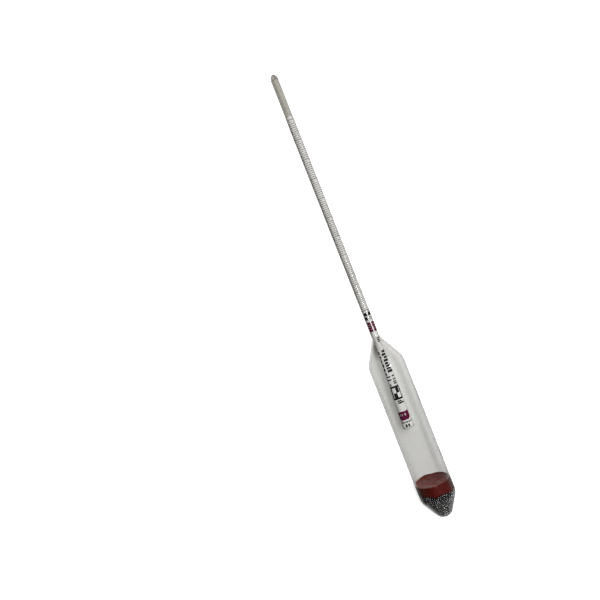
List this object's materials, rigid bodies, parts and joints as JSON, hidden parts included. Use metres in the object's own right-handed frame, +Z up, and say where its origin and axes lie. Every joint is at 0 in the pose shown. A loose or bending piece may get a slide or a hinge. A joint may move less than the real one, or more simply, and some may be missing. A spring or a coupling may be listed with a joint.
{
  "type": "glass hydrometer",
  "caption": "Sealed glass float with a slim graduated stem, a wide barrel bulb and a shot-weighted nose under sealing wax, for reading the density of a liquid.",
  "frame": {"origin": "on the table, under the middle of the instrument's length, as it lies on its barrel", "axes": "+X along the instrument's axis from the weighted nose to the tip of the stem, +Z up from the table, +Y to the left of +X"},
  "size_m": [0.335, 0.0262, 0.0262],
  "materials": {
    "glass": "clear, fire polished",
    "paper": "matte, printed",
    "wax": "glossy red-brown sealing wax",
    "shot": "dull metal balls",
    "ink": "black print",
    "red_ink": "maroon print"
  },
  "bodies": {
    "root": {"stem_tube": "glass", "bulb": "glass", "scale_paper": "paper", "sealing_wax": "wax", "lead_shot": "shot"}
  },
  "joints": []
}
